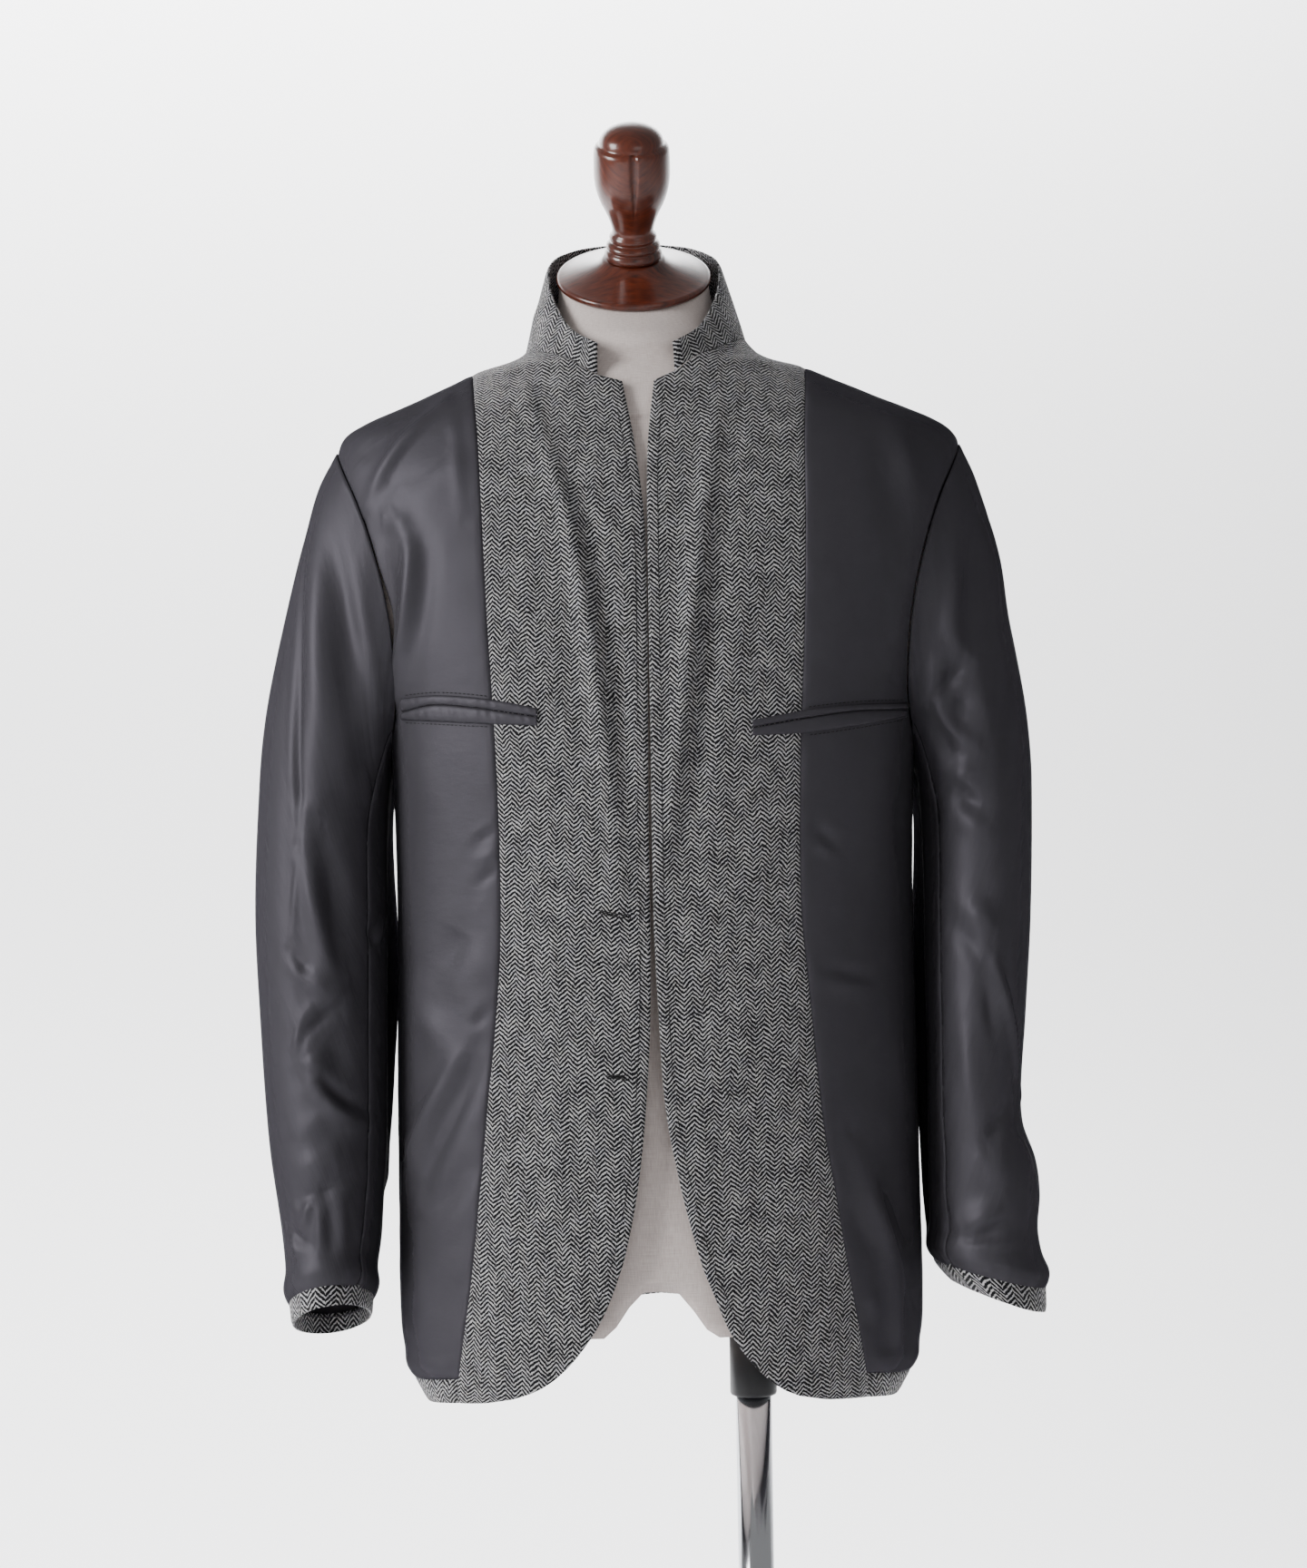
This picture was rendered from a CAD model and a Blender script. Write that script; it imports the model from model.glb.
# A tailored jacket worn inside out on a limbless dress form, dressed round its CAD frame.
import math

import bpy
import numpy as np
from mathutils import Matrix, Vector

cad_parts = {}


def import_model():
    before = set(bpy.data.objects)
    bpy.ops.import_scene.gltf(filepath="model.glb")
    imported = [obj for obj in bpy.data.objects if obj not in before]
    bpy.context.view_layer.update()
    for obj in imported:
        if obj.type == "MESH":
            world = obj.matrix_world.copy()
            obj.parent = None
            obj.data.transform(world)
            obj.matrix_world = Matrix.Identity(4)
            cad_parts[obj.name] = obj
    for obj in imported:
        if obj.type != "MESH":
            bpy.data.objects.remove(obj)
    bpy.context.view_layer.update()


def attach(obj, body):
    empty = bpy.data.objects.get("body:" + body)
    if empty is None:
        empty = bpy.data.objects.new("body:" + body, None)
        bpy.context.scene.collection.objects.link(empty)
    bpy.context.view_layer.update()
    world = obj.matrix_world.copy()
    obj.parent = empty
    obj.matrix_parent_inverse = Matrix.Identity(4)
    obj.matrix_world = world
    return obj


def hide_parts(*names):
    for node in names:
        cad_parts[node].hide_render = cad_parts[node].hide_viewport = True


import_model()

# Lengths are in millimetres, as in the CAD source, and become metres when a mesh is made.
# X runs to the viewer's right, -Y faces the viewer, Z is up.
MM = 0.001
POLE_OFFSET = 65.0
DETAIL = 1.0

# Camera: the photograph's frame, its scale in the form's middle plane and its small lean
FRAME_HEIGHT_PX = 1728
MM_PER_PX = 0.65
CAMERA_DISTANCE = 2300.0
CAMERA_HEIGHT = 1181.2
CAMERA_X = 0.15
CAMERA_LEAN = 0.9
SENSOR_MM = 36.0

# Cloth
CLOTH_THICKNESS = 1.5
SEAM_INSET = 0.12
# The weave of the narrow strips is a little coarser, so that it still reads at their size
STRIP_GRAIN = 0.8
SHOULDER_Z = 1421.0
ARMHOLE_FLOOR_Z = 1195.0
LAPEL_TOP_Z = 1460.0
HEM_STRIP = 17.0
ARMHOLE_FRONT = 72.0
ARMHOLE_BACK = 82.0
ARMHOLE_LIFT = 0.35

NECK = {"half_width": 78.5, "front": 84.0, "back": 62.0, "shift": -7.6, "start": 20.4}
NECK_LOW_Z = 1430.0
NECK_TOP_Z = 1502.0
COLLAR_TOP_SHIFT = -8.0
COLLAR_BULGE = 1.0
COLLAR_LIFT = 0.2
# Millimetres of cloth to a degree round the collar and round a sleeve
COLLAR_ARC = 1.3
SLEEVE_ARC = 1.05

# Seams and edges of the pieces, with depths and widths of the dips along them. Puckers gather
# the cloth at a seam, and a drop is the swell of the lining above the hem
FREE_EDGE = {"depth": 0.5, "width": 1.3}
DROP = {"height": 9.0, "width": 8.0, "fade": 9.0}
SATIN_FRONT = {
    "sewn": ("start", "end", "top"), "free": ("bottom",), "seam_depth": 0.8, "seam_width": 2.2,
    "puckers": 0.5, "drop": 2.4, "spacing": 2.4, "strip": False,
}
SATIN_BACK = {**SATIN_FRONT, "spacing": 3.3}
TWEED_FACING = {
    "sewn": ("end",), "free": ("bottom", "start"), "seam_depth": 0.6, "seam_width": 2.0,
    "puckers": 0.0, "drop": 0.0, "spacing": 3.0, "strip": False,
}
TWEED_HEM = {
    "sewn": ("start", "end"), "free": ("bottom", "top"), "seam_depth": 0.4, "seam_width": 1.5,
    "puckers": 0.0, "drop": 0.0, "spacing": 3.0, "strip": True,
}
COLLAR = {"columns": 150, "rows": 34, "swell": 0.7, "edge_depth": 0.7, "edge_width": 1.6}
SLEEVE = {
    "rows": 250, "spacing": 2.3, "swell": 0.9, "seam_depth": 1.0, "seam_width": 2.6, "puckers": 0.5,
}
# The cloth of a sleeve swells above the cuff and dips at their seam
SLEEVE_END = {"swell": 3.2, "swell_height": 11.0, "swell_width": 9.0, "dip": 1.2, "dip_width": 2.5}
CUFF = {"columns": 160, "rows": 11, "start": 1.992, "height": 13.0, "seam_depth": 1.0, "edge_depth": 0.7,
        "width": 1.6}
CUFF_SEAM = {"left": 118.0, "right": 240.0}
WELT = {"lift": 1.0, "bulge": 1.5, "thickness": 0.9, "spacing": 0.9, "bands": 9}
WELT_WRINKLE = {"left": 0.45, "right": 0.0}

# Where the distance round the body is measured for the weave
ARC_HEIGHT = 1100.0
ARC_REACH = 183.9

# Level sections of the body
BODY_COLUMNS = ("z", "half_width", "front", "back", "power", "shift")
BODY = (
    (735, 163, 119, 117, 2.3, 0),
    (750, 170, 121, 118, 2.3, 0),
    (768, 179, 123, 119, 2.3, 0),
    (800, 186, 125, 120, 2.3, 0),
    (900, 186, 125, 118, 2.3, 0),
    (1000, 185, 122, 111, 2.3, 0),
    (1100, 184, 121, 107, 2.3, 0),
    (1195, 186, 126, 116, 2.4, 0),
    (1237, 191, 126, 120, 2.4, 0),
    (1287, 204, 124, 122, 2.4, 0),
    (1344, 218, 118, 119, 2.4, 0),
    (1395, 225, 108, 106, 2.3, 0),
    (1421, 222, 99, 92, 2.2, 0),
    (1436, 210, 93, 83, 2.1, -1),
    (1457, 162, 85, 71.5, 2.0, -2),
    (1467, 139, 80, 66.5, 2.0, -3),
    (1476, 118, 76.5, 62, 2.0, -4),
    (1481, 99, 75, 60, 2.0, -5),
    (1486, 87, 73.5, 58.5, 2.0, -5),
    (1491, 81, 72, 57, 2.0, -5),
    (1497, 76, 70, 54.5, 2.0, -5),
    (1502, 72, 68, 52, 2.0, -5),
)

# Hem height by the angle round the body, 0 at the front, 90 at the side
HEM_COLUMNS = ("angle", "z")
HEM = ((0, 757), (45, 756), (80, 748), (105, 752), (140, 780), (180, 798))

# Front edges and facing seams, bottom to top: the sideways place at each height
EDGE_COLUMNS = ("z", "x")
FRONT_EDGE = {
    "left": (
        (757.5, -121), (762, -102), (770, -83), (783, -66.4), (800, -52), (818, -40.6), (840, -31),
        (864, -23.3), (907, -14.6), (962, -8.2), (1030, -4.1), (1159, -3.4), (1350, -2.6), (1411, -8.5),
        (1460, -17),
    ),
    "right": (
        (757.5, 112), (762, 93), (771, 77), (786, 61.6), (808, 46.5), (833, 36), (857, 27), (907, 14.3),
        (962, 4.7), (1030, 0.8), (1091, -1.3), (1220, -1.5), (1350, -1.4), (1411, -0.5), (1460, 4.6),
    ),
}
FACING_SEAM = {
    "left": (
        (756, -142), (774, -141), (851, -129.5), (950, -118), (1049, -108), (1099, -106), (1191, -107),
        (1297, -112), (1371, -115), (1427, -118), (1476, -123.5),
    ),
    "right": (
        (756, 142), (774, 141), (847, 129), (897, 121), (947, 113), (1046, 104), (1095, 100),
        (1188, 100.5), (1293, 105), (1368, 107), (1423, 108), (1476, 111.5),
    ),
}

# Collar's top edge by the angle round the neck
COLLAR_COLUMNS = ("angle", "z", "half_width", "depth")
COLLAR_TOP = (
    (20.4, 1488, 78, 82), (45, 1504, 67, 76), (65, 1526, 64, 69), (90, 1551, 62, 62),
    (135, 1571, 61, 58), (180, 1579, 61, 57),
)

# Sleeves: distance from the body's middle to the outer and the inner side, by height
SLEEVE_OUTER = {
    "left": (
        (780, 259), (830, 264), (868, 267.6), (930, 276), (1020, 282), (1098, 285), (1188, 281),
        (1227, 277), (1265, 270), (1330, 254.6), (1362, 246), (1397, 235), (1421, 222),
    ),
    "right": (
        (780, 271), (830, 271.5), (862, 267), (888, 269), (912, 266.5), (938, 258), (967, 257.7),
        (1012, 261.6), (1089, 267.4), (1180, 270), (1218, 268), (1254, 263.5), (1328, 250),
        (1364, 242), (1397, 233), (1421, 222),
    ),
}
SLEEVE_INNER = {
    "left": (
        (780, 207), (830, 203), (868, 197), (930, 192), (1050, 189.5), (1150, 189.5), (1195, 187.6),
    ),
    "right": (
        (780, 214), (826, 204), (842, 193), (880, 189.5), (930, 189.5), (1050, 189.5), (1150, 189.5),
        (1195, 187.6),
    ),
}
DEPTH_COLUMNS = ("z", "centre", "half")
SLEEVE_DEPTH = (
    (800, -30, 56), (900, -22, 61), (1000, -14, 66), (1100, -6, 69), (1195, 0, 72), (1310, 5, 77),
)
RING_COLUMNS = ("along", "outer", "inner", "slope")
SLEEVE_RINGS = {
    "left": ((0, 1421, 1195, 0), (1, 1150, 1138, 0), (2, 814, 822, 0.34), (3, 801, 811, 0.32)),
    "right": ((0, 1421, 1195, 0), (1, 1150, 1138, 0), (2, 821, 842, 0.05), (3, 805, 828, 0.05)),
}
SLEEVE_FRONT_SEAM = 140.0
SLEEVE_BACK_SEAM = 240.0

# Jetted pockets: sideways place, top edge, slit and bottom edge
POCKET_COLUMNS = ("x", "top", "slit", "bottom")
POCKET = {
    "left": (
        (-173.4, 1243.5, 1234, 1228.5), (-150, 1244.7, 1238, 1226.6), (-122, 1242.4, 1235.4, 1224.5),
        (-97.6, 1238.4, 1231.4, 1223), (-77.8, 1233.8, 1228, 1222),
    ),
    "right": (
        (67.7, 1223.6, 1218.4, 1213), (102.9, 1229.7, 1224.4, 1214.4), (136.8, 1233.5, 1229, 1218.6),
        (176.5, 1235.3, 1230.6, 1225),
    ),
}

# Folds on the body. A row has the ridge's width and height, and then its line as pairs of
# a sideways place and a height. A trough has a negative height
FRONT_FOLDS = (
    (7, 6.5, -83, 1452, -66, 1400, -52, 1350, -38, 1260, -29, 1180, -22, 1110),
    (7, 5.5, 47, 1437, 38, 1375, 30, 1310, 22, 1240, 14, 1175, 6, 1120),
    (12, -2.6, -60, 1330, -52, 1260, -40, 1180),
    (9, -2.2, -30, 1290, -24, 1220, -18, 1150),
    (10, -2.0, 38, 1300, 30, 1220, 22, 1140),
    (5, 3.4, -142, 1451, -162, 1431, -180, 1409, -190, 1393, -196, 1378),
    (6, -2.2, -155, 1447, -178, 1434, -197, 1416),
    (9, -2.0, -131, 1431, -150, 1412, -172, 1387),
    (5, 1.2, -137, 1447, -132, 1410, -129, 1372),
    (6, 5.0, -172, 1364, -166, 1350, -164, 1338, -166, 1315, -170, 1292, -176, 1268, -181, 1245),
    (7, -3.4, -184, 1355, -179, 1318, -181, 1290, -185, 1265),
    (10, 1.2, -156, 1205, -154, 1161),
    (11, -3.2, -133, 1083, -139, 1073, -160, 1036),
    (10, 2.4, -172, 1040, -158, 1016, -143, 995),
    (7, 5.0, -128, 1012, -137, 993, -161, 952, -170, 930, -176, 911, -186, 875),
    (9, -3.2, -128, 1005, -133, 980, -156, 934, -166, 905),
    (8, -2.6, -129, 921, -148, 897, -165, 880),
    (4, -1.8, -185, 938, -177, 917),
    (9, -1.6, -163, 817, -142, 836),
    (3, -1.6, -122, 1143, -109, 1151),
    (4, 1.3, -122, 1130, -109, 1137),
    (3.5, -1.6, -121, 1115, -109, 1125),
    (4, -1.4, -127, 1014, -116, 1029),
    (9, 2.2, 172, 1429, 181, 1400, 189, 1370),
    (10, -1.6, 158, 1420, 166, 1385, 172, 1344),
    (9, 1.8, 178, 1319, 172, 1295, 168, 1269),
    (9, -1.6, 171, 1181, 178, 1117),
    (4, -1.6, 111, 1150, 121, 1141),
    (4, 1.4, 110, 1139, 124, 1129),
    (5, -1.8, 115, 1051, 130, 1049, 145, 1044),
    (6, 1.6, 115, 1044, 132, 1042, 148, 1037),
    (9, 1.8, 165, 1011, 174, 940),
    (8, 3.8, 136, 926, 149, 892, 160, 858, 172, 826),
    (7, -2.4, 156, 899, 168, 872, 175, 851),
    (8, -2.2, 132, 889, 143, 866, 153, 843),
    (6, 1.8, 143, 830, 151, 808),
    (6, 2.2, 162, 841, 165, 812, 164, 783),
    (7, -1.8, 153, 830, 155, 779),
    (18, -1.6, -40, 930, -52, 895, -60, 860),
    (18, -1.4, 60, 930, 72, 890, 80, 850),
)
BACK_FOLDS = (
    (8, 3.6, -150, 1395, -156, 1340, -168, 1290),
    (8, -2.4, -130, 1385, -138, 1325, -150, 1270),
    (8, 3.4, 150, 1395, 157, 1345, 168, 1290),
    (8, -2.4, 132, 1380, 139, 1325, 150, 1275),
    (7, 2.4, -172, 1250, -150, 1225, -118, 1212),
    (10, -3.0, -160, 1120, -138, 1082, -110, 1060),
    (8, 2.8, -150, 1085, -124, 1058, -95, 1040),
    (10, -3.0, 162, 1130, 136, 1096, 105, 1075),
    (8, 2.6, 152, 1096, 126, 1066, 96, 1050),
    (6, 2.0, -60, 1430, -42, 1421, -20, 1418),
    (6, 1.8, 62, 1432, 44, 1422, 24, 1420),
    (11, 3.2, -120, 960, -114, 910, -100, 850),
    (11, 3.0, 110, 980, 116, 920, 128, 860),
    (12, -2.2, -50, 930, -47, 880, -46, 830),
    (12, -2.0, 40, 900, 46, 860, 56, 826),
    (8, -2.4, -150, 880, -140, 850, -138, 815),
    (8, -2.2, 148, 900, 144, 860, 150, 820),
)

# Folds on the sleeves, as on the body, with pairs of a height and an angle round the sleeve,
# 0 outer, 90 front, 180 inner and 270 back. The long ridges on the inner side close the view
# between sleeve and body
SLEEVE_FOLDS = {
    "left": (
        (3.6, -2.6, 1398, 14, 1345, 28, 1287, 47, 1218, 67, 1167, 78, 1137, 77),
        (3.6, 1.8, 1137, 77, 1110, 75, 1081, 72),
        (11, 5.0, 1396, 27, 1327, 50, 1280, 64, 1238, 77, 1175, 94),
        (10, -6.0, 1405, 33, 1365, 48, 1326, 63, 1288, 78, 1250, 95, 1203, 122),
        (4.4, 3.4, 1394, 39, 1341, 67, 1285, 93, 1246, 114),
        (6, -3.0, 1351, 72, 1287, 100),
        (8, 4.4, 1165, 80, 1109, 90, 1067, 99, 1042, 109),
        (12, -6.0, 1140, 101, 1108, 108, 1074, 115),
        (5, -3.0, 1070, 70, 1052, 89),
        (8, 4.2, 1060, 80, 1048, 92, 1035, 104),
        (5, -4.0, 1030, 110, 1022, 92, 1011, 78),
        (3.6, 1.8, 1019, 77, 1000, 70),
        (8, 3.0, 999, 84, 979, 92),
        (12, -3.6, 1012, 99, 994, 109, 976, 118),
        (5, -4.4, 986, 88, 970, 106, 957, 134),
        (8, 3.0, 974, 84, 960, 104, 948, 128),
        (4, 2.6, 1087, 160, 1078, 152, 1071, 147),
        (4, -2.4, 1084, 141, 1069, 148),
        (8, 2.2, 945, 71, 952, 88, 953, 104),
        (6, -3.2, 897, 63, 905, 96, 916, 129),
        (9, 2.4, 917, 63, 931, 113),
        (5, 2.4, 882, 65, 892, 72, 900, 81),
        (4.5, -2.6, 878, 38, 870, 58, 866, 76),
        (3.6, 2.0, 874, 44, 855, 56),
        (6, 1.6, 893, 84, 862, 85),
        (7, 1.6, 905, 106, 858, 115),
        (6, -1.6, 899, 96, 859, 99),
        (12, 10.2, 1195, 209, 1050, 210, 905, 209),
        (11, 4.0, 1380, 300, 1315, 280, 1250, 262),
        (10, -3.4, 1330, 285, 1280, 266, 1230, 250),
        (7, 2.8, 1220, 305, 1190, 284, 1160, 262),
        (11, -4.8, 1150, 300, 1105, 276, 1060, 250),
        (8, 4.0, 1110, 320, 1070, 298, 1030, 275),
        (9, -4.2, 1020, 300, 990, 270, 960, 240),
        (8, 3.2, 960, 330, 930, 300, 900, 270),
        (5, -2.6, 884, 305, 870, 280, 866, 255),
    ),
    "right": (
        (7, 4.6, 1405, 31, 1350, 59, 1313, 71, 1284, 82, 1274, 80, 1265, 76),
        (12, -3.2, 1398, 22, 1346, 46, 1294, 62),
        (7, -3.0, 1370, 57, 1325, 78, 1281, 94),
        (4.5, -5.0, 1262, 76, 1256, 88, 1246, 100, 1235, 116),
        (6, 2.6, 1270, 92, 1256, 100, 1246, 112),
        (6, 3.6, 1242, 105, 1228, 108, 1214, 103, 1206, 90),
        (9, -4.6, 1250, 84, 1236, 90, 1225, 93),
        (8, -3.0, 1218, 118, 1195, 113),
        (14, 2.4, 1374, 12, 1328, 22, 1282, 37),
        (14, -2.0, 1256, 50, 1180, 59),
        (8, 2.4, 1182, 117, 1189, 94),
        (8, -3.6, 1173, 122, 1168, 106, 1159, 93),
        (10, 2.6, 1155, 122, 1150, 98, 1142, 76),
        (9, 2.8, 1096, 112, 1088, 94, 1077, 78),
        (9, -2.8, 1080, 123, 1068, 106, 1055, 90),
        (5, 3.8, 1056, 80, 1034, 68, 1016, 58, 985, 42, 958, 24),
        (9, -3.2, 1049, 92, 1022, 82, 998, 72),
        (12, 2.2, 1017, 111, 948, 97),
        (7, -3.6, 953, 56, 942, 74, 930, 91),
        (5, -3.2, 862, 114, 868, 92, 875, 71),
        (8, 2.8, 871, 121, 880, 98, 889, 76),
        (6, -2.0, 883, 141, 862, 140),
        (12, 2.2, 917, 94, 903, 62),
        (4, 1.8, 858, 150, 858, 104, 861, 57),
        (9, 2.0, 933, 46, 901, 37),
        (12, 10.2, 1232, 209, 1040, 210, 815, 209),
        (11, 3.8, 1380, 300, 1315, 278, 1250, 262),
        (9, -3.2, 1320, 285, 1272, 266, 1225, 250),
        (7, 2.6, 1200, 300, 1172, 282, 1140, 258),
        (11, -4.6, 1140, 305, 1100, 276, 1064, 252),
        (8, 3.8, 1095, 318, 1056, 296, 1020, 272),
        (9, -4.0, 1010, 300, 982, 272, 950, 245),
        (8, 3.2, 950, 330, 918, 300, 890, 270),
        (5, -2.4, 878, 300, 866, 276, 862, 250),
    ),
}
COLLAR_FOLDS = (
    (10, 1.6, -150, 40, -135, 28, -120, 20),
    (10, 1.4, 60, 44, 76, 34, 90, 22),
    (9, 1.2, -30, 60, -4, 65, 20, 66),
)
LOWEST_FOLD = {"free": -3.2, "seat": -0.7}
# The hollow beside a ridge, its share of the ridge's height, and its place and width in the
# ridge's widths
HOLLOW = {"share": 0.36, "away": 1.9, "width": 1.2}

# Form
FORM_FLOOR_Z = 803.0
FORM_GAP = 3.2
FORM_HOLLOW = {"depth": 8.0, "start": 1300.0, "full": 1050.0}
FORM_SEAT_GAP = 0.2
ARM_PLATE_X = 195.0
ARCH = {"rise": 32.0, "flat": 9.0, "reach": 40.0, "shift": -1.0}
NECK_RING_COLUMNS = ("z", "half_width", "front", "back", "tilt", "shift")
FORM_NECK = (
    (1476, 95, 67, 51, 0, -5), (1481, 81, 66, 50, 0, -5), (1488, 74, 68, 51, 0, -5),
    (1501, 65, 66, 52, 5, -6), (1514, 58, 61, 49, 13, -7), (1528, 54.5, 55, 45.5, 23, -8),
    (1540.5, 53, 49, 42, 32, -8.3),
)
CAP = {"x": -8.3, "y": -3.8, "z": 1540.9, "tilt": 32.0, "top": 18.0}

NECK_SEAM = {"z": 1437.0, "depth": 1.4, "width": 1.5}
FORM_SEGMENTS = 72
# Heights of the form's rings, as from, to and step, which is fine where the neck seam dips
FORM_RINGS = ((812, 1430, 8.0 * DETAIL), (1431, 1445, 0.8), (1446, 1472, 3.0))
LINEN_ARC = 2.4

# Turned pieces, as radius and height from bottom to top
CAP_PROFILE = (
    (0, 0), (52.6, 0), (54.2, 0.5), (55.1, 1.8), (55.3, 3.2), (54.9, 4.5), (53.8, 5.2), (52.4, 5.4),
    (51.2, 5.6), (48, 6.5), (42, 8.2), (36, 10.1), (32, 11.6), (28, 13.4), (25.2, 15.2), (23, 17),
    (21.8, 18), (0, 18),
)
FINIAL_PROFILE = (
    (0, 0), (18.6, 0), (19.8, 0.5), (20.5, 1.8), (20.6, 3.4), (20.2, 5.2), (19.2, 6.4), (18.3, 7.0),
    (18.2, 7.4), (18.9, 8.0), (19.3, 9.2), (19.1, 10.6), (18.2, 11.8), (16.6, 12.7), (15.8, 13.3),
    (15.9, 13.9), (16.6, 14.8), (16.9, 16.2), (16.5, 17.6), (15.5, 18.7), (14.9, 19.6), (14.6, 21),
    (14.8, 23), (15.8, 27), (17.6, 32), (19.8, 37), (22.0, 41.5), (23.8, 46), (25.3, 51), (26.3, 56),
    (26.9, 62), (27.0, 68), (26.9, 75), (26.6, 80.6), (26.2, 82.4), (25.3, 83.6), (24.2, 84.3), (23.4, 84.8),
    (22.9, 85.4), (22.7, 86.4), (22.3, 88.2), (21.3, 90.4), (19.5, 92.6), (17.0, 94.6), (13.8, 96.3),
    (9.8, 97.6), (5.2, 98.4), (0, 98.6),
)
FITTING_PROFILE = ((0, 0), (31.5, 0), (33, 1.5), (33, 7.2), (32.2, 8), (0, 8))
FOOT_PROFILE = (
    (0, 0), (188, 0), (190, 2), (190, 4), (187, 5.4), (182, 6.5), (160, 8), (28, 8), (25, 9.5), (24, 12),
    (23.4, 40), (22.6, 45), (21, 48), (13.2, 48), (13.2, 27.7), (0, 27.7),
)
LEAF = {"bottom": 36.0, "top": 84.0, "width": 3.4, "depth": 2.2, "x": 1.5, "radius": 27.0}
FOOT_TOP_Z = 28.0
POLE_SLEEVE_Z = 743.0
STAND_GAP = 0.3
STAND_SEGMENTS = 96
LEAST_RADIUS = 0.02

STAND_SLOTS = {
    "neck_cap": "mahogany", "finial": "mahogany", "leg_fitting": "black_plastic",
    "pole_sleeve": "black_plastic", "pole": "chrome", "foot_plate": "foot",
}

# Stitches
STITCH = {"length": 2.0, "pitch": 3.0, "radius": 0.34, "lift": 0.2}
POCKET_STITCH = {"inset": 2.0, "margin": 1.8, "seam_gap": 3.0}
TOPSTITCH = {"inset": 7.4, "low": 800.0, "high": 1450.0}
BUTTONHOLE = {"bite": 1.0, "pitch": 0.62, "radius": 0.3, "eye": 1.5, "gap": 0.5, "rays": 16, "reach": 2.5}
BUTTONHOLES = (((-38.6, 1094.9), (-18.6, 1090.9)), ((-34.5, 983.2), (-21.2, 982.5)))
SLIT = {"share": 0.999, "radius": 0.55}
BAR_TACK = {"x": 176.9, "low": 1224.6, "high": 1236.4, "bars": 3, "pitch": 0.5, "radius": 0.45, "lift": 1.0}
# A thread's sides, and its thickness at each share of its length
BAR_SIDES = 6
BAR_PROFILE = ((0.0, 0.25), (0.12, 0.8), (0.5, 1.0), (0.88, 0.8), (1.0, 0.25))

# Weaves
# Herringbone: width of a column, distance between lines, their slant, the break where they turn,
# and how far columns and lines wander
HERRINGBONE = {"column": 6.1, "pitch": 3.05, "slant": 0.92, "break": 0.22, "wander": 5.0, "drift": 3.0}
# Thick and thin yarn, patches and loose fibre: scale, detail and roughness of the noise, and its
# weight
TWEED_UNEVEN = ((0.55, 3.0, 0.7, 1.5), (0.07, 3.0, 0.6, 0.5), (1.3, 2.0, 0.7, 0.9))
LINEN_THREAD = {"fine": 2.6, "long": 0.12, "count": 7.5}

# Studio: place, aim and size in metres, and power
LIGHTS = {
    "key": ((-2.9, -1.45, 2.2), (0, 0, 1.2), (1.2, 1.7), 108),
    "fill": ((1.2, -3.4, 1.6), (0, 0, 1.1), (1.6, 1.6), 8),
    "wall above": ((-0.8, 0.75, 2.75), (-0.8, 1.75, 2.3), (3.6, 0.4), 185),
    "wall below": ((-0.8, 0.75, 0.1), (-0.8, 1.75, 0.45), (3.6, 0.4), 74),
}
WORLD_STRENGTH = 0.3
BACKDROP = {"half_width": 4500.0, "front": -4000.0, "bend_y": 900.0, "bend": 700.0, "steps": 16,
            "top": 4500.0, "drop": 0.5}

SIDES = {"left": -1.0, "right": 1.0}


def length(steps):
    return np.linalg.norm(steps, axis=-1)


def unit(vectors):
    return vectors / length(vectors)[..., None]


def sine(angle):
    return np.sin(np.radians(angle))


def cosine(angle):
    return np.cos(np.radians(angle))


def bump(distance, width):
    """One at no distance, falling softly to nothing."""
    return np.exp(-((distance / width) ** 2))


def running_length(line):
    """How far along a line each of its points is."""
    return np.concatenate([[0], np.cumsum(length(np.diff(np.asarray(line, float), axis=0)))])


def halve(low, high, holds, steps=40):
    """The highest place between two values up to which a test holds."""
    for _ in range(steps):
        middle = (low + high) / 2
        held = holds(middle)
        low, high = np.where(held, middle, low), np.where(held, high, middle)
    return low


def column(rows, columns, name):
    return np.array([row[columns.index(name)] for row in rows], dtype=float)


def from_table(rows, columns, key, name, at):
    """A smooth value of one column at a place in the key column."""
    k = column(rows, columns, key)
    v = column(rows, columns, name)
    at = np.clip(np.asarray(at, dtype=float), k[0], k[-1])
    before = np.maximum(np.arange(len(k)) - 1, 0)
    after = np.minimum(np.arange(len(k)) + 1, len(k) - 1)
    slope = (v[after] - v[before]) / (k[after] - k[before])
    i = np.clip(np.searchsorted(k, at, side="right") - 1, 0, len(k) - 2)
    width = k[i + 1] - k[i]
    t = (at - k[i]) / width
    curve = (2 * t**3 - 3 * t**2 + 1) * v[i] + (3 * t**2 - 2 * t**3) * v[i + 1]
    return curve + width * ((t**3 - 2 * t**2 + t) * slope[i] + (t**3 - t**2) * slope[i + 1])


def smooth_step(low, high, value):
    t = np.clip((np.asarray(value, dtype=float) - low) / (high - low), 0, 1)
    return t * t * (3 - 2 * t)


def lerp(a, b, t):
    return a + (b - a) * t


def body_value(name, z):
    return from_table(BODY, BODY_COLUMNS, "z", name, z)


def body_level(p):
    """How far out points lie: 1 is on the body's surface."""
    x, y, z = p[..., 0], p[..., 1], p[..., 2]
    depth = np.where(y < 0, body_value("front", z), body_value("back", z))
    power = body_value("power", z)
    across = np.abs(x - body_value("shift", z)) / body_value("half_width", z)
    along = np.abs(y) / depth
    return (across**power + along**power) ** (1 / power)


def body_normal(p):
    normal = np.zeros_like(p)
    for axis in range(3):
        step = np.zeros(3)
        step[axis] = 1.0
        normal[..., axis] = body_level(p + step) - body_level(p - step)
    return unit(normal)


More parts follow.
